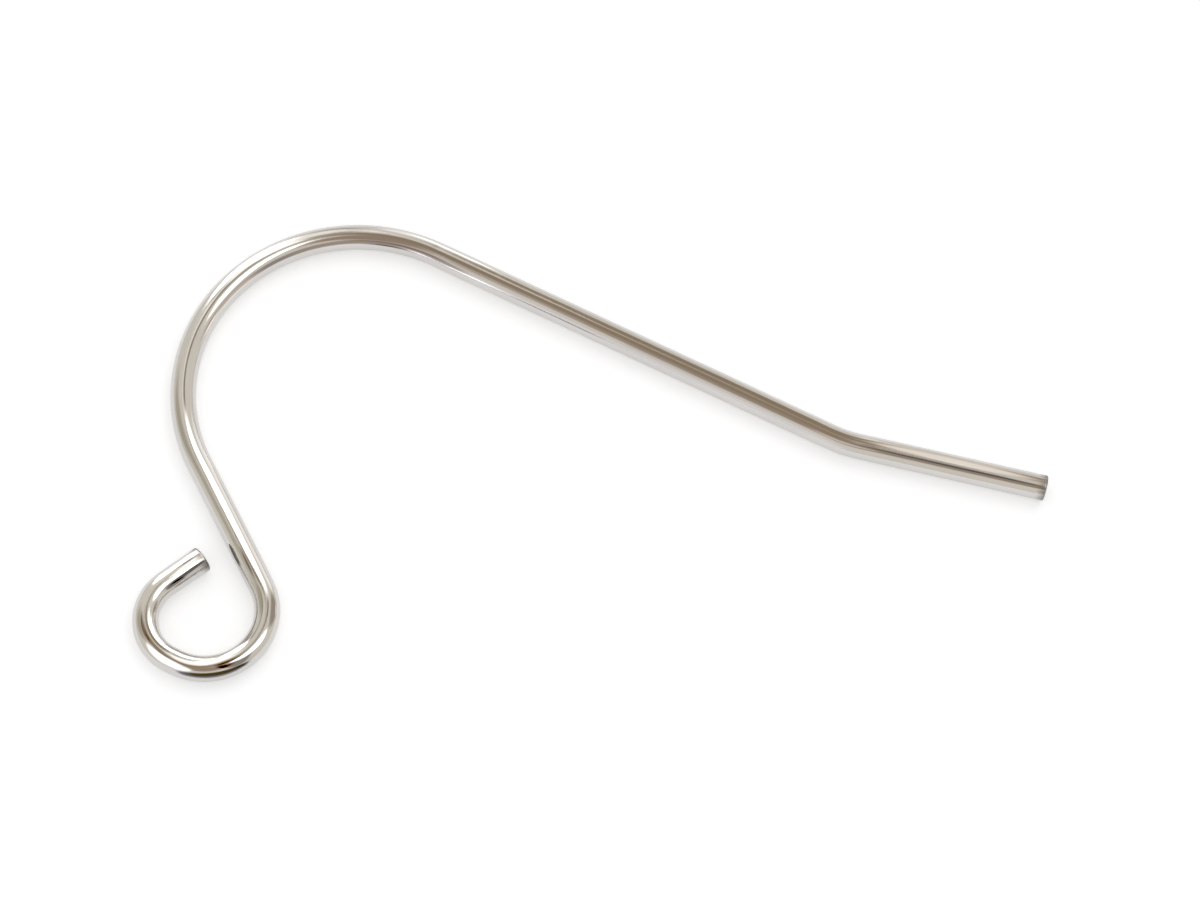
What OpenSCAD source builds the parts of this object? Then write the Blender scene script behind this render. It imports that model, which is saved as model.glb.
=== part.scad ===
// Fish-hook ear wire: one length of round steel wire, bent in one plane and lying flat.
// From its tip the wire runs through the tip, kink, shank, arch, neck, loop and loop end.
// Seen from above, the shank lies along X, the tip points to +X and the loop is on the -Y side.
// Z = 0 is the surface that it lies on, and the origin is under the middle of its outline.

/* [Wire] */
// Wire diameter
wire_d = 0.8; // [0.6:0.05:1]
// How much thinner the wire is in its bends, where it has stretched
bend_thinning = 0.01; // [0.005:0.005:0.03]
// Length of the taper by which a straight runs on into a bend
taper_l = 0.1; // [0.04:0.01:0.12]
// Width of the bevel round both cut ends
rim_bevel = 0.06; // [0.02:0.01:0.15]

/* [Tip] */
// Length of the straight tip that goes through the ear
tip_l = 5.8; // [3:0.1:10]
// Inside radius of the kink between the tip and the shank
kink_inside_r = 3.6; // [1:0.1:8]
// Turn of the kink in degrees
kink_turn = 13.5; // [5:0.5:35]

/* [Shank] */
// Length of the straight shank
shank_l = 13.4; // [9:0.1:20]

/* [Arch] */
// Inside radius of the arch that hangs over the ear lobe
arch_inside_r = 4.9; // [3.5:0.1:7]
// Turn of the arch in degrees
arch_turn = 143; // [135:1:155]

/* [Neck] */
// Length of the straight neck between the arch and the loop
neck_l = 4.4; // [3:0.1:8]

/* [Loop] */
// Inside radius of the loop's round part
loop_inside_r = 1.4; // [1.2:0.05:2]
// Length of the short straight between the round part and the closing bend
loop_flat_l = 0.2; // [0.1:0.05:1]
// Inside radius of the tighter bend that closes the loop
closing_inside_r = 1; // [0.8:0.05:1.3]
// Turn of the closing bend in degrees
closing_turn = 116; // [100:1:125]
// Gap between the loop's cut end and the neck
loop_gap = 0.7; // [0.2:0.05:1]

/* [Hidden] */
$fn = 64;

// Radii of the wire: in the straights, in the bends, and where a straight's taper ends
wire_r = wire_d / 2;
bent_r = wire_r - bend_thinning / 2;
taper_r = wire_r - 2 * bend_thinning;

// Bend radii to the middle of the wire
kink_r = kink_inside_r + wire_r;
arch_r = arch_inside_r + wire_r;
loop_r = loop_inside_r + wire_r;
closing_r = closing_inside_r + wire_r;

// A stretch of wire starts at a pose: [x, y, heading in degrees] of the wire's middle.

// Pose at a distance straight ahead
function ahead(from, distance) =
    [from.x + distance * cos(from.z), from.y + distance * sin(from.z), from.z];

// Centre of a bend, which lies on the left where the turn is positive
function bend_centre(from, r, turn) =
    [from.x - sign(turn) * r * sin(from.z), from.y + sign(turn) * r * cos(from.z)];

// Pose after a bend
function bent(from, r, turn) =
    let (centre = bend_centre(from, r, turn), heading = from.z + turn)
    [centre.x + sign(turn) * r * sin(heading), centre.y - sign(turn) * r * cos(heading), heading];

function place(from) = [from.x, from.y];
function direction(from) = [cos(from.z), sin(from.z)];

// The loop's round part ends where the wire runs parallel to the shank again.
loop_turn = arch_turn;

// Poses at which the stretches start, walked from the tip's end
tip_start = [0, 0, 180 + kink_turn];
kink_start = ahead(tip_start, tip_l);
shank_start = bent(kink_start, kink_r, -kink_turn);
arch_start = ahead(shank_start, shank_l);
neck_start = bent(arch_start, arch_r, arch_turn);
loop_start = ahead(neck_start, neck_l);
flat_start = bent(loop_start, loop_r, -loop_turn);
closing_start = ahead(flat_start, loop_flat_l);
loop_end_start = bent(closing_start, closing_r, -closing_turn);

// The loop end is a short straight that stops at the gap's distance from the neck.
neck_angle = loop_turn + closing_turn - 180;
neck_distance = cross(place(neck_start) - place(loop_end_start), direction(neck_start))
    / cross(direction(loop_end_start), direction(neck_start));
loop_end_l = neck_distance
    - (loop_gap + wire_r + wire_r * abs(cos(neck_angle))) / sin(neck_angle);

// Edges of the outline: the arch, the tip's bevelled end and the loop's flat
left_x = bend_centre(arch_start, arch_r, arch_turn).x - arch_r - bent_r;
right_x = (wire_r - rim_bevel) * sin(kink_turn);
front_y = flat_start.y - wire_r;
back_y = wire_r * cos(kink_turn) - rim_bevel * sin(kink_turn);
middle = [(left_x + right_x) / 2, (front_y + back_y) / 2];

// Each stretch starts at the origin, heads along +X and draws what follows it at its own end.

// Straight stretch that tapers into the bends at both its ends
module straight(length) {
    rotate([0, 90, 0])
        rotate_extrude()
            polygon([
                [0, -taper_l],
                [taper_r, -taper_l],
                [wire_r, 0],
                [wire_r, length],
                [taper_r, length + taper_l],
                [0, length + taper_l]
            ]);
    translate([length, 0, 0]) children();
}

// Round bend, to the left where the turn is positive
module bend(r, turn) {
    centre = [0, sign(turn) * r, 0];
    first = turn > 0 ? -90 : 90 + turn;
    translate(centre) {
        rotate(first) rotate_extrude(angle = abs(turn)) translate([r, 0]) circle(r = bent_r);
        rotate(turn) translate(-centre) children();
    }
}

// Straight stretch that tapers into the bend before it and ends in a bevelled cut
module cut_end(length)
    rotate([0, 90, 0])
        rotate_extrude()
            polygon([
                [0, -taper_l],
                [taper_r, -taper_l],
                [wire_r, 0],
                [wire_r, length - rim_bevel],
                [wire_r - rim_bevel, length],
                [0, length]
            ]);

// The wire from the shank towards the tip
module tip_side()
    bend(kink_r, kink_turn) cut_end(tip_l);

// The wire from the far end of the shank round to the loop's cut end
module loop_side()
    bend(arch_r, arch_turn)
        straight(neck_l)
            bend(loop_r, -loop_turn)
                straight(loop_flat_l)
                    bend(closing_r, -closing_turn)
                        cut_end(loop_end_l);

module ear_hook()
    color("silver")
        translate([shank_start.x - middle.x, shank_start.y - middle.y, wire_r]) {
            tip_side();
            rotate(180) straight(shank_l) loop_side();
        }

ear_hook();
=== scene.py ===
import math
import bpy
from mathutils import Matrix, Vector


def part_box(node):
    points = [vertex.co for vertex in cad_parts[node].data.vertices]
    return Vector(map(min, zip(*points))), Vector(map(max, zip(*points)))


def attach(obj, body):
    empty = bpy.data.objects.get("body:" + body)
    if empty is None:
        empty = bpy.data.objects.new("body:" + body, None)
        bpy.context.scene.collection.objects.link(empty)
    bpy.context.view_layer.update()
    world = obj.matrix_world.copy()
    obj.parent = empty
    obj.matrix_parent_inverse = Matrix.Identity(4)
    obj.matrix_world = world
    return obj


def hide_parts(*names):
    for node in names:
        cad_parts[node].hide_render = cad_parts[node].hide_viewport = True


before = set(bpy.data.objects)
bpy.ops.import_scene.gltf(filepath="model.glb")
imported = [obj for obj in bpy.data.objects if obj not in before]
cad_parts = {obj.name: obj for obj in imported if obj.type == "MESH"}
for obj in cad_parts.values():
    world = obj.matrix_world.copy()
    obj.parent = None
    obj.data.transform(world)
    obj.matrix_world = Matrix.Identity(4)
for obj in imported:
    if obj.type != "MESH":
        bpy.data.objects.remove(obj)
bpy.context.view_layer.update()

hookLow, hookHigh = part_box("ear_hook")
millimetre = 0.001
print("frame loaded, hook from", tuple(hookLow), "to", tuple(hookHigh))


def deselectAll():
    bpy.ops.object.select_all(action="DESELECT")


def addNode(tree, kind, **settings):
    node = tree.nodes.new(kind)
    for name, value in settings.items():
        setattr(node, name, value)
    return node


def newMaterial(name):
    material = bpy.data.materials.new(name)
    material.use_nodes = True
    shader = material.node_tree.nodes["Principled BSDF"]
    return material, material.node_tree, shader


# ---- the wire ----
# modelled in millimetres, walking from the tip's cut end; turns to the left are positive
earWire = {
    "radius": 0.4,
    "facets": 64,
    "ringSpacing": 0.1,
    "tipHeading": 193.5,
    "stretches": [  # name, straight length, bend radius at the wire's middle, turn
        ("tip", 5.8, 0, 0),
        ("kink", 0, 4, -13.5),
        ("shank", 13.4, 0, 0),
        ("arch", 0, 5.3, 143),
        ("neck", 4.4, 0, 0),
        ("loop", 0, 1.8, -143),
        ("loopFlat", 0.2, 0, 0),
        ("closingBend", 0, 1.4, -116),
        ("loopEnd", 1.355, 0, 0),
    ],
    "rimBevel": 0.06,
    "rimSegments": 5,
    "cutInsets": [(0.05, 0), (0.09, -0.006), (0.09, -0.003)],  # width and depth of each step in a cut end
    "bendThinning": 0.005,
    "thinningFade": 0.5,
    "waviness": [("longWaves", 1.6, 0.005), ("shortWaves", 0.35, 0.0012)],  # name, size, depth
    "cutReach": 0.048,  # how much wire at each end has the look of the cut
    "smoothAngle": 40,
}


def heading(degrees):
    angle = math.radians(degrees)
    return Vector((math.cos(angle), math.sin(angle), 0))


def walkWire():
    # where each stretch starts, which way it goes, and how much wire lies before it
    place, angle, along, walk = Vector((0, 0, 0)), earWire["tipHeading"], 0, []
    for _, length, bendRadius, turn in earWire["stretches"]:
        side = heading(angle + math.copysign(90, turn))
        centre = place + bendRadius * side
        arc = bendRadius * math.radians(abs(turn))
        walk.append({"start": place, "angle": angle, "along": along, "length": length + arc,
                     "centre": centre, "bendRadius": bendRadius, "turn": turn})
        if turn:
            place = centre - bendRadius * heading(angle + turn + math.copysign(90, turn))
        else:
            place = place + length * heading(angle)
        angle, along = angle + turn, along + length + arc
    return walk, along


def sweepWire(walk):
    deselectAll()
    bpy.ops.mesh.primitive_circle_add(
        vertices=earWire["facets"], radius=earWire["radius"], fill_type="NOTHING",
        location=(0, 0, 0), rotation=(0, math.pi / 2, math.radians(earWire["tipHeading"])))
    wire = bpy.context.object
    wire.name = wire.data.name = "earWire"
    bpy.ops.object.transform_apply(location=True, rotation=True, scale=True)
    bpy.ops.object.mode_set(mode="EDIT")
    bpy.ops.mesh.select_all(action="SELECT")
    for stretch in walk:
        steps = max(2, round(stretch["length"] / earWire["ringSpacing"]))
        if stretch["turn"]:
            bpy.ops.mesh.spin(steps=steps, angle=-math.radians(stretch["turn"]), center=stretch["centre"],
                              axis=(0, 0, 1), use_auto_merge=False)
        else:
            ahead = heading(stretch["angle"]) * stretch["length"] / steps
            for step in range(steps):
                bpy.ops.mesh.extrude_region_move(TRANSFORM_OT_translate={"value": ahead})
    bpy.ops.object.mode_set(mode="OBJECT")
    return wire


def closeEnds(wire):
    # both cut ends: a face, a rounded rim, then a slightly sunk middle
    facets, count = earWire["facets"], len(wire.data.vertices)
    for first in (0, count - facets):
        deselectAll()
        wire.select_set(True)
        bpy.ops.object.mode_set(mode="EDIT")
        bpy.ops.mesh.select_all(action="DESELECT")
        bpy.ops.object.mode_set(mode="OBJECT")
        for vertex in wire.data.vertices[first:first + facets]:
            vertex.select = True
        bpy.ops.object.mode_set(mode="EDIT")
        bpy.ops.mesh.edge_face_add()
        bpy.ops.object.mode_set(mode="OBJECT")
    selectCutFaces(wire)
    bpy.ops.object.mode_set(mode="EDIT")
    bpy.ops.mesh.region_to_loop()
    bpy.ops.mesh.bevel(offset=earWire["rimBevel"], segments=earWire["rimSegments"], profile=0.5,
                       affect="EDGES", clamp_overlap=False)
    bpy.ops.object.mode_set(mode="OBJECT")
    selectCutFaces(wire)
    bpy.ops.object.mode_set(mode="EDIT")
    for width, depth in earWire["cutInsets"]:
        bpy.ops.mesh.inset(thickness=width, depth=depth, use_even_offset=False)
    bpy.ops.mesh.poke()
    bpy.ops.mesh.select_all(action="SELECT")
    bpy.ops.mesh.normals_make_consistent(inside=False)
    bpy.ops.object.mode_set(mode="OBJECT")


def selectCutFaces(wire):
    # the only faces with as many corners as the wire has facets
    bpy.ops.object.mode_set(mode="EDIT")
    bpy.ops.mesh.select_mode(type="FACE")
    bpy.ops.mesh.select_all(action="DESELECT")
    bpy.ops.object.mode_set(mode="OBJECT")
    for face in wire.data.polygons:
        face.select = len(face.vertices) == earWire["facets"]


def wireSpot(walk, point):
    # how far along the wire a point lies, and its angle round the wire from the top
    nearest = None
    for stretch in walk:
        if stretch["turn"]:
            way = math.copysign(1, stretch["turn"])
            arm = (point - stretch["centre"]).to_2d()
            swept = -way * (stretch["start"] - stretch["centre"]).to_2d().angle_signed(arm, 0)
            swept = min(max(swept, 0), math.radians(abs(stretch["turn"])))
            forward = heading(stretch["angle"] + way * math.degrees(swept))
            middle = stretch["centre"] + stretch["bendRadius"] * way * Vector((forward.y, -forward.x, 0))
            along = stretch["along"] + stretch["bendRadius"] * swept
        else:
            forward = heading(stretch["angle"])
            ahead = min(max((point - stretch["start"]).dot(forward), 0), stretch["length"])
            middle = stretch["start"] + ahead * forward
            along = stretch["along"] + ahead
        off = point - middle
        reach = off.to_2d().length
        if nearest is None or reach < nearest[0]:
            nearest = reach, along, math.atan2(off.dot(Vector((-forward.y, forward.x, 0))), point.z)
    return nearest[1:]


def layWireMap(wire, walk):
    # u is millimetres along the wire, v is once round it with the seam underneath
    spots = [wireSpot(walk, vertex.co) for vertex in wire.data.vertices]
    wireMap = wire.data.uv_layers.new(name="alongAround")
    for face in wire.data.polygons:
        first = spots[face.vertices[0]][1]
        for loop, vertex in zip(face.loop_indices, face.vertices):
            along, around = spots[vertex]
            around -= 2 * math.pi * round((around - first) / (2 * math.pi))
            wireMap.data[loop].uv = along, around / (2 * math.pi) + 0.5


def thinBends(wire, walk):
    # bending draws the wire a little thinner, fading out into the straights
    inBends = wire.vertex_groups.new(name="inBends")
    bends = [(stretch["along"], stretch["along"] + stretch["length"]) for stretch in walk if stretch["turn"]]
    for vertex in wire.data.vertices:
        along = wireSpot(walk, vertex.co)[0]
        away = min(max(start - along, along - end, 0) for start, end in bends)
        inBends.add([vertex.index], max(0, 1 - away / earWire["thinningFade"]), "REPLACE")
    thin = wire.modifiers.new("thinBends", "DISPLACE")
    thin.vertex_group, thin.mid_level, thin.strength = "inBends", 0, -earWire["bendThinning"]
    bpy.ops.object.modifier_apply(modifier="thinBends")
    wire.vertex_groups.clear()


def lowCorner(wire):
    return Vector([min(vertex.co[axis] for vertex in wire.data.vertices) for axis in range(3)])


def roughenWire(wire):
    # bent wire is never quite even: shallow hollows, none of them outwards
    for name, size, depth in earWire["waviness"]:
        waves = bpy.data.textures.new(name, "CLOUDS")
        waves.noise_scale = size
        push = wire.modifiers.new(name, "DISPLACE")
        push.texture, push.texture_coords = waves, "LOCAL"
        push.mid_level, push.strength = 1, depth
        bpy.ops.object.modifier_apply(modifier=name)


def markCuts(wire, walk, wireLength):
    # second material: the cut faces with their rims
    for face in wire.data.polygons:
        along = wireSpot(walk, face.center)[0]
        if min(along, wireLength - along) < earWire["cutReach"]:
            face.material_index = 1


def placeWire(wire, low):
    # the mesh is moved to the hook's own place and brought to metres
    wire.scale = (millimetre, millimetre, millimetre)
    wire.location = hookLow - low * millimetre
    bpy.ops.object.transform_apply(location=True, rotation=True, scale=True)


walk, wireLength = walkWire()
wire = sweepWire(walk)
closeEnds(wire)
layWireMap(wire, walk)
thinBends(wire, walk)
low = lowCorner(wire)
roughenWire(wire)
markCuts(wire, walk, wireLength)
placeWire(wire, low)
print("wire swept,", round(wireLength, 2), "mm long,", len(wire.data.polygons), "faces")


# ---- steel ----
bumpHeight = 0.01 * millimetre
steelLook = {
    "tints": ((0.64, 0.62, 0.6, 1), (0.6, 0.585, 0.57, 1)),
    "roughness": (0.06, 0.13),
    "lineStretch": (0.35, 16, 16),  # drawing lines: times per millimetre along, then across
    "lineDepth": 0.12,
    "peelSize": 9,  # the faint grain of polished metal, times per millimetre
    "peelDepth": 0.05,
    "hazeStretch": (0.5, 2, 2),  # broad soft patches, a little duller or brighter
    "hazeWear": (-0.02, 0.03),
    "smearTint": (0.22, 0.205, 0.19, 1),  # the dull mark that the shears leave behind a cut
    "smearReach": (0.02, 0.3),  # whole up to the first distance from the cut, gone at the second
    "smearRagged": 0.1,
    "smearRoughness": 0.25,
}
cutLook = {
    "tints": ((0.34, 0.32, 0.3, 1), (0.17, 0.16, 0.15, 1)),
    "roughness": (0.25, 0.45),
    "shearStretch": (14, 3, 18),
    "shearDepth": 0.3,
}


def straightWirePoint(tree, radius):
    # the wire map turned back into a straight wire's surface, so that no seam shows
    wireMap = addNode(tree, "ShaderNodeUVMap", uv_map="alongAround")
    split = addNode(tree, "ShaderNodeSeparateXYZ")
    turn = addNode(tree, "ShaderNodeMath", operation="MULTIPLY")
    turn.inputs[1].default_value = 2 * math.pi
    tree.links.new(wireMap.outputs["UV"], split.inputs["Vector"])
    tree.links.new(split.outputs["Y"], turn.inputs[0])
    point = addNode(tree, "ShaderNodeCombineXYZ")
    tree.links.new(split.outputs["X"], point.inputs["X"])
    for operation, target in (("SINE", "Y"), ("COSINE", "Z")):
        wave = addNode(tree, "ShaderNodeMath", operation=operation)
        size = addNode(tree, "ShaderNodeMath", operation="MULTIPLY")
        size.inputs[1].default_value = radius
        tree.links.new(turn.outputs[0], wave.inputs[0])
        tree.links.new(wave.outputs[0], size.inputs[0])
        tree.links.new(size.outputs[0], point.inputs[target])
    return point.outputs["Vector"]


def noiseOn(tree, point, stretch, detail=3):
    mapping = addNode(tree, "ShaderNodeMapping")
    mapping.inputs["Scale"].default_value = stretch
    noise = addNode(tree, "ShaderNodeTexNoise")
    noise.inputs["Scale"].default_value = 1
    noise.inputs["Detail"].default_value = detail
    tree.links.new(point, mapping.inputs["Vector"])
    tree.links.new(mapping.outputs["Vector"], noise.inputs["Vector"])
    return noise.outputs["Fac"]


def spread(tree, value, low, high, fromLow=0.3, fromHigh=0.7):
    # noise hardly leaves 0.3 to 0.7, so that range is the usual one
    spreader = addNode(tree, "ShaderNodeMapRange")
    for name, number in (("From Min", fromLow), ("From Max", fromHigh), ("To Min", low), ("To Max", high)):
        spreader.inputs[name].default_value = number
    tree.links.new(value, spreader.inputs["Value"])
    return spreader.outputs["Result"]


def mixTints(tree, factor, tints):
    mix = addNode(tree, "ShaderNodeMix", data_type="RGBA")
    mix.inputs["A"].default_value, mix.inputs["B"].default_value = tints
    tree.links.new(factor, mix.inputs["Factor"])
    return mix.outputs["Result"]


def joinNumbers(tree, operation, first, second):
    joined = addNode(tree, "ShaderNodeMath", operation=operation)
    tree.links.new(first, joined.inputs[0])
    tree.links.new(second, joined.inputs[1])
    return joined.outputs[0]


def addBump(tree, shader, height, strength, under=None):
    bump = addNode(tree, "ShaderNodeBump")
    bump.inputs["Strength"].default_value = strength
    bump.inputs["Distance"].default_value = bumpHeight
    tree.links.new(height, bump.inputs["Height"])
    if under:
        tree.links.new(under, bump.inputs["Normal"])
    tree.links.new(bump.outputs["Normal"], shader.inputs["Normal"])
    return bump.outputs["Normal"]


def smearedEnds(tree, point, lines):
    # 1 at both ends of the wire, ragged and fading out behind them
    split = addNode(tree, "ShaderNodeSeparateXYZ")
    tree.links.new(point, split.inputs["Vector"])
    left = addNode(tree, "ShaderNodeMath", operation="SUBTRACT")
    left.inputs[0].default_value = wireLength
    tree.links.new(split.outputs["X"], left.inputs[1])
    nearest = joinNumbers(tree, "MINIMUM", split.outputs["X"], left.outputs[0])
    uneven = spread(tree, lines, -steelLook["smearRagged"], steelLook["smearRagged"])
    return spread(tree, joinNumbers(tree, "ADD", nearest, uneven), 1, 0, *steelLook["smearReach"])


def makePolishedSteel():
    material, tree, shader = newMaterial("polishedSteel")
    point = straightWirePoint(tree, earWire["radius"])
    lines = noiseOn(tree, point, steelLook["lineStretch"])
    haze = noiseOn(tree, point, steelLook["hazeStretch"], detail=2)
    shader.inputs["Metallic"].default_value = 1
    smear = smearedEnds(tree, point, lines)
    tinted = addNode(tree, "ShaderNodeMix", data_type="RGBA")
    tinted.inputs["B"].default_value = steelLook["smearTint"]
    tree.links.new(mixTints(tree, spread(tree, haze, 0, 1), steelLook["tints"]), tinted.inputs["A"])
    tree.links.new(smear, tinted.inputs["Factor"])
    tree.links.new(tinted.outputs["Result"], shader.inputs["Base Color"])
    drawn = spread(tree, lines, *steelLook["roughness"])
    worn = joinNumbers(tree, "ADD", drawn, spread(tree, haze, *steelLook["hazeWear"]))
    smeared = spread(tree, smear, 0, steelLook["smearRoughness"], 0, 1)
    tree.links.new(joinNumbers(tree, "ADD", worn, smeared), shader.inputs["Roughness"])
    grain = noiseOn(tree, point, (steelLook["peelSize"],) * 3, detail=1)
    peel = addBump(tree, shader, grain, steelLook["peelDepth"])
    addBump(tree, shader, lines, steelLook["lineDepth"], under=peel)
    return material


def makeCutSteel():
    material, tree, shader = newMaterial("cutSteel")
    point = addNode(tree, "ShaderNodeTexCoord").outputs["Object"]
    scale = addNode(tree, "ShaderNodeVectorMath", operation="SCALE")
    scale.inputs["Scale"].default_value = 1 / millimetre
    tree.links.new(point, scale.inputs[0])
    shear = noiseOn(tree, scale.outputs["Vector"], cutLook["shearStretch"])
    shader.inputs["Metallic"].default_value = 1
    tree.links.new(mixTints(tree, spread(tree, shear, 0, 1), cutLook["tints"]), shader.inputs["Base Color"])
    tree.links.new(spread(tree, shear, *cutLook["roughness"]), shader.inputs["Roughness"])
    addBump(tree, shader, shear, cutLook["shearDepth"])
    return material


wire.data.materials.append(makePolishedSteel())
wire.data.materials.append(makeCutSteel())
deselectAll()
wire.select_set(True)
bpy.context.view_layer.objects.active = wire
bpy.ops.object.shade_smooth_by_angle(angle=math.radians(earWire["smoothAngle"]))
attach(wire, "root")
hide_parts("ear_hook")
print("steel on the wire")


# ---- floor ----
floorLook = {
    "size": 0.8,
    "tint": (0.9, 0.9, 0.9, 1),
    "roughness": 0.7,
    "shine": 0.1,
    "glow": 0.33,  # keeps it nearly white all over
}


def makeFloor():
    deselectAll()
    bpy.ops.mesh.primitive_plane_add(size=floorLook["size"], location=(0, 0, 0))
    floor = bpy.context.object
    floor.name = "floor"
    material, tree, shader = newMaterial("paleFloor")
    shader.inputs["Base Color"].default_value = floorLook["tint"]
    shader.inputs["Roughness"].default_value = floorLook["roughness"]
    shader.inputs["Specular IOR Level"].default_value = floorLook["shine"]
    shader.inputs["Emission Color"].default_value = (1, 1, 1, 1)
    shader.inputs["Emission Strength"].default_value = floorLook["glow"]
    floor.data.materials.append(material)


makeFloor()
print("floor laid")


# ---- light ----
# directions are degrees round from the picture's right-hand side, then degrees up
pictureTurn = 27.3
roomLight = {
    "dome": (0.76, 0.76, 0.76, 1),  # the even light on the floor
    "base": (0.88, 0.84, 0.76, 1),  # what the metal mirrors, with the zones below laid over it
    "zones": [  # name, round, up, half width, half height, lean, softness, colour
        ("paleLow", -125, 12, 0.4, 0.36, 0, 0.6, (1.02, 0.99, 1)),
        ("warmRoom", -98, 64, 0.46, 0.4, 0, 0.5, (0.42, 0.33, 0.26)),
        ("warmAbove", 160, 80, 0.36, 0.3, 0, 0.4, (0.38, 0.29, 0.2)),
        ("oliveLeft", 164, 36, 0.36, 0.5, 0, 0.6, (0.56, 0.52, 0.42)),
        ("greyRight", -45, 20, 0.26, 0.34, 0, 0.6, (0.8, 0.78, 0.74)),
        ("paleBack", 98, 44, 0.14, 0.42, 0, 0.4, (1.8, 1.75, 1.68)),
        ("panelUpLeft", 113, 24, 0.19, 0.42, 0, 0.3, (3.8, 3.8, 3.7)),
        ("panelUp", 80, 18, 0.13, 0.36, 0, 0.4, (1.35, 1.33, 1.28)),
        ("paleUpRight", 50, 18, 0.3, 0.3, 0, 0.5, (1.3, 1.27, 1.22)),
        ("panelRight", -10, 62, 0.22, 0.36, 10, 0.3, (3.8, 3.8, 3.7)),
        ("warmUp", 70, 54, 0.14, 0.48, 0, 0.4, (0.36, 0.28, 0.19)),
    ],
}


def pictureDirection(around, up):
    flat = heading(around + pictureTurn) * math.cos(math.radians(up))
    return flat + Vector((0, 0, math.sin(math.radians(up))))


def softSpot(tree, point, softness):
    # 1 in the middle of a unit circle, falling to 0 at its edge
    ball = addNode(tree, "ShaderNodeTexGradient", gradient_type="SPHERICAL")
    edge = addNode(tree, "ShaderNodeMapRange", interpolation_type="SMOOTHSTEP")
    edge.inputs["From Max"].default_value = softness
    tree.links.new(point, ball.inputs["Vector"])
    tree.links.new(ball.outputs["Fac"], edge.inputs["Value"])
    return edge.outputs["Result"]


def makeRoomLight():
    world = bpy.data.worlds.new("room")
    bpy.context.scene.world = world
    world.use_nodes = True
    tree = world.node_tree
    background = tree.nodes["Background"]
    direction = addNode(tree, "ShaderNodeTexCoord").outputs["Generated"]
    colour = None
    for name, around, up, width, height, lean, softness, tint in roomLight["zones"]:
        middle = pictureDirection(around, up)
        place = addNode(tree, "ShaderNodeMapping", vector_type="TEXTURE", label=name)
        place.inputs["Location"].default_value = middle
        turn = middle.to_track_quat("Z", "Y").to_matrix() @ Matrix.Rotation(math.radians(lean), 3, "Z")
        place.inputs["Rotation"].default_value = turn.to_euler()
        place.inputs["Scale"].default_value = (width, height, 1)
        mix = addNode(tree, "ShaderNodeMix", data_type="RGBA")
        mix.inputs["A"].default_value = roomLight["base"]
        mix.inputs["B"].default_value = (*tint, 1)
        tree.links.new(direction, place.inputs["Vector"])
        tree.links.new(softSpot(tree, place.outputs["Vector"], softness), mix.inputs["Factor"])
        if colour:
            tree.links.new(colour, mix.inputs["A"])
        colour = mix.outputs["Result"]
    # the zones are for the metal alone; the floor and the camera have the even dome
    seen = addNode(tree, "ShaderNodeLightPath")
    choice = addNode(tree, "ShaderNodeMix", data_type="RGBA")
    choice.inputs["A"].default_value = roomLight["dome"]
    tree.links.new(seen.outputs["Is Glossy Ray"], choice.inputs["Factor"])
    tree.links.new(colour, choice.inputs["B"])
    tree.links.new(choice.outputs["Result"], background.inputs["Color"])


# a soft panel for the floor's shadow: the wire doesn't mirror it
floorLights = [  # name, round, up, distance, size, power
    ("keyPanel", 60, 55, 0.4, 0.3, 0.15),
]


def addFloorLight(name, around, up, distance, size, power):
    deselectAll()
    spot = pictureDirection(around, up) * distance
    bpy.ops.object.light_add(type="AREA", location=spot)
    panel = bpy.context.object
    panel.name = name
    panel.rotation_euler = spot.to_track_quat("Z", "Y").to_euler()
    panel.data.size, panel.data.energy = size, power
    panel.visible_glossy = False


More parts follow.
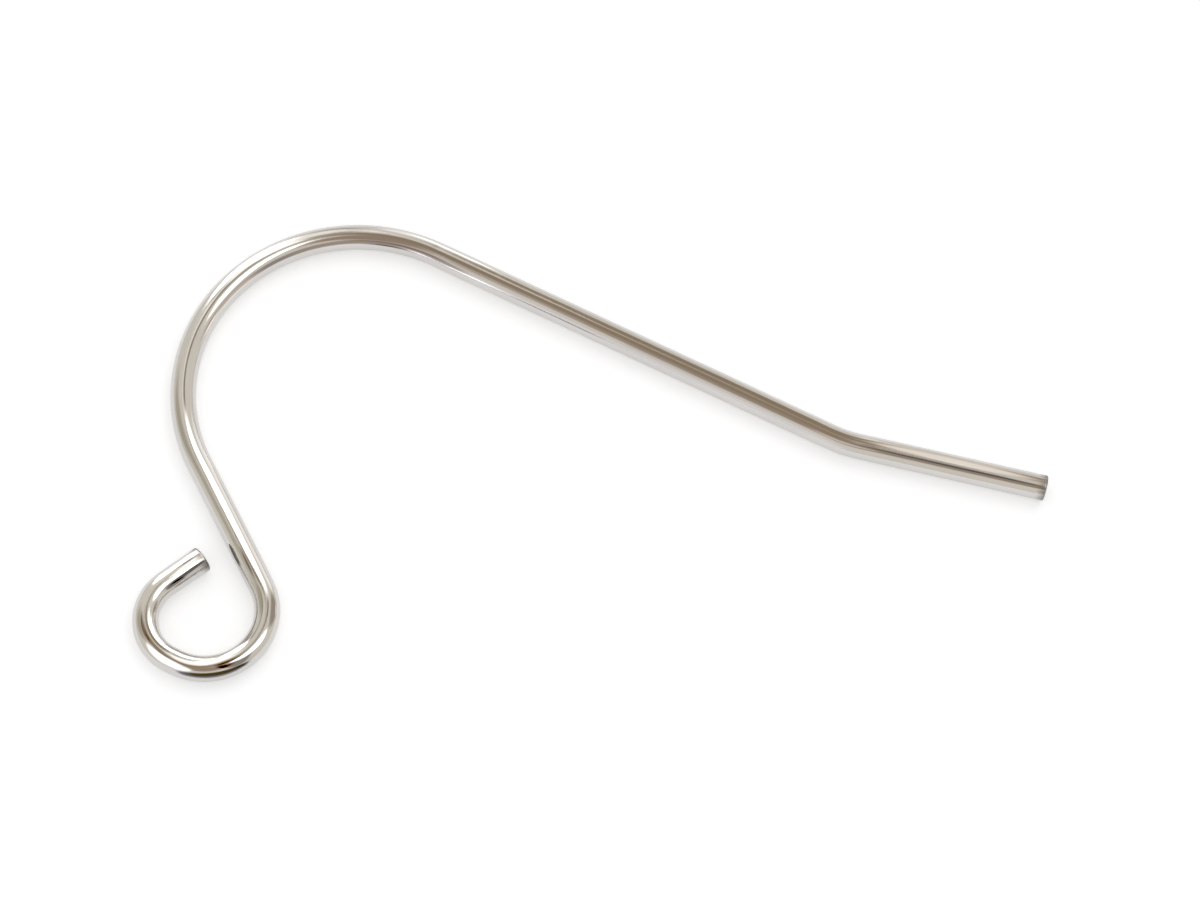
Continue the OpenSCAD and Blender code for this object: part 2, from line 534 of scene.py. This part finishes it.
# small soft lights near the wire, seen in the metal alone, each for one patch of its reflections;
# the colour is added to what the metal mirrors, so a negative one takes light away
nearLights = [  # in millimetres: name, place, the spot it faces, width, height, softness, colour
    ("tipPale", (9.6, 10.5, 4.6), (9.9, 7.8, 0.4), 7, 5.4, 0.5, (0.85, 0.83, 0.8)),
    ("tipDark", (10.4, 6.85, 4.2), (10.2, 7.85, 0.4), 7.8, 1.7, 0.5, (-0.3, -0.23, -0.17)),
    ("kinkPale", (6.9, 4.9, 4.2), (6.7, 7, 0.4), 4, 1.6, 0.6, (0.4, 0.42, 0.42)),
    ("archEdge", (-7.6, 10.8, 1.8), (-7.6, 7.1, 0.7), 4.4, 1.5, 0.5, (1.4, 1.4, 1.35)),
    ("archPale", (-12.4, 6.1, 4.2), (-12.2, 5.1, 0.4), 3, 1.6, 0.5, (0.8, 0.8, 0.8)),
    ("archBack", (-12.2, 8.9, 4), (-10.1, 6.1, 0.4), 3.6, 5.8, 0.4, (-0.55, -0.55, -0.55)),
    ("archWarm", (-7.9, 3.2, 2), (-9.8, 6.3, 0.4), 4, 3.4, 0.6, (-0.4, -0.44, -0.42)),
    ("archLow", (-10.6, 2.8, 0.9), (-12.1, 2.5, 0.6), 2.2, 1.4, 0.6, (0.3, 0.28, 0.26)),
    ("archDim", (-12.9, 3.1, 1.9), (-12.4, 2.5, 0.6), 1.4, 0.8, 0.6, (-0.36, -0.34, -0.32)),
    ("archShade", (-8.2, 5.1, 1.9), (-8.5, 6.7, 0.5), 2.8, 1.2, 0.6, (-0.2, -0.22, -0.22)),
    ("neckPale", (-9.15, -1.95, 3.8), (-10, -3.15, 0.1), 7.5, 3.5, 0.3, (2.3, 2.35, 2.35)),
    ("loopPale", (-8.9, -10.4, 2.6), (-8.1, -8.35, 0.4), 4.4, 3.4, 0.3, (1.2, 1.25, 1.3)),
    ("loopBrown", (-4.5, -4, 2.2), (-6.2, -5.9, 0.4), 3.2, 3.6, 0.5, (-0.44, -0.46, -0.44)),
    ("loopDark", (-5.5, -9.8, 0.7), (-6.7, -7.9, 0.7), 6.6, 3, 0.25, (-0.78, -0.77, -0.74)),
    ("loopDarkTop", (-5.4, -8, 2.6), (-6.5, -7.6, 0.4), 2.3, 3.8, 0.3, (-0.5, -0.5, -0.46)),
    ("closePale", (-8.3, -3.7, 4.8), (-10.5, -6, 5.2), 3.2, 7.2, 0.3, (1.7, 1.75, 1.75)),
    ("loopTop", (-8.1, -7.6, 3.8), (-8.1, -7.7, 0.4), 2.2, 2.4, 0.6, (1.2, 1.2, 1.2)),
    ("neckDim", (-8.9, -5.2, 3.1), (-7.5, -4.85, 0.7), 1.7, 1.2, 0.6, (-0.48, -0.48, -0.44)),
    ("closeWarm", (-10.1, -8, 2.3), (-9.6, -7.5, 0.3), 2.2, 1, 0.5, (-0.54, -0.56, -0.54)),
    ("stubPale", (-9.2, -5.4, 2.6), (-10.5, -6.5, 1.6), 1.3, 2.6, 0.4, (1.3, 1.35, 1.35)),
    ("stubGrey", (-10.05, -5.1, 1.75), (-9.9, -6.1, 1.2), 1.8, 0.9, 0.5, (-0.75, -0.72, -0.66)),
    ("stubDark", (-8.5, -5.87, 1.15), (-9.05, -5.67, 0.5), 2.1, 0.52, 0.4, (-0.7, -0.68, -0.62)),
]


def addNearLight(name, place, faces, width, height, softness, tint):
    deselectAll()
    place, faces = Vector(place) * millimetre, Vector(faces) * millimetre
    bpy.ops.object.light_add(type="AREA", location=place)
    nearLight = bpy.context.object
    nearLight.name = name
    nearLight.rotation_euler = (place - faces).to_track_quat("Z", "Y").to_euler()
    lamp = nearLight.data
    lamp.shape = "ELLIPSE"
    lamp.size, lamp.size_y = width * millimetre, height * millimetre
    # pi times its area: the strength in the nodes is then the brightness that is mirrored
    lamp.energy = math.pi * (math.pi / 4 * lamp.size * lamp.size_y)
    top = max(tint, key=abs)
    lamp.use_nodes = True
    tree = lamp.node_tree
    glow = tree.nodes["Emission"]
    glow.inputs["Color"].default_value = (*[value / top for value in tint], 1)
    # places on the lamp run from 0 to 1, and the soft spot's from -1 to 1
    middle = addNode(tree, "ShaderNodeVectorMath", operation="MULTIPLY_ADD")
    middle.inputs[1].default_value = (2, 2, 0)
    middle.inputs[2].default_value = (-1, -1, 0)
    tree.links.new(addNode(tree, "ShaderNodeNewGeometry").outputs["Parametric"], middle.inputs[0])
    power = addNode(tree, "ShaderNodeMath", operation="MULTIPLY")
    power.inputs[1].default_value = top
    tree.links.new(softSpot(tree, middle.outputs["Vector"], softness), power.inputs[0])
    tree.links.new(power.outputs["Value"], glow.inputs["Strength"])
    nearLight.visible_camera = nearLight.visible_diffuse = nearLight.visible_shadow = False


makeRoomLight()
for panel in floorLights:
    addFloorLight(*panel)
for nearLight in nearLights:
    addNearLight(*nearLight)
print("light set")


# ---- camera ----
cameraView = {
    "place": (0.01217, -0.03536, 0.0929),
    "aim": (0.00016, 0.00336, 0.0004),
    "turn": 25.7,  # degrees from +X to the picture's level line
    "lens": 100,
    "sensor": 36,
    "clip": (0.001, 10),
}


def makeCamera():
    deselectAll()
    place, aim = Vector(cameraView["place"]), Vector(cameraView["aim"])
    bpy.ops.object.camera_add(location=place)
    camera = bpy.context.object
    back = (place - aim).normalized()
    right = heading(cameraView["turn"] + 90).cross(back).normalized()
    camera.rotation_euler = Matrix((right, back.cross(right), back)).transposed().to_euler()
    camera.data.lens = cameraView["lens"]
    camera.data.sensor_width = cameraView["sensor"]
    camera.data.clip_start, camera.data.clip_end = cameraView["clip"]
    bpy.context.scene.camera = camera


makeCamera()
bpy.context.scene.view_settings.view_transform = "Standard"
print("camera set")
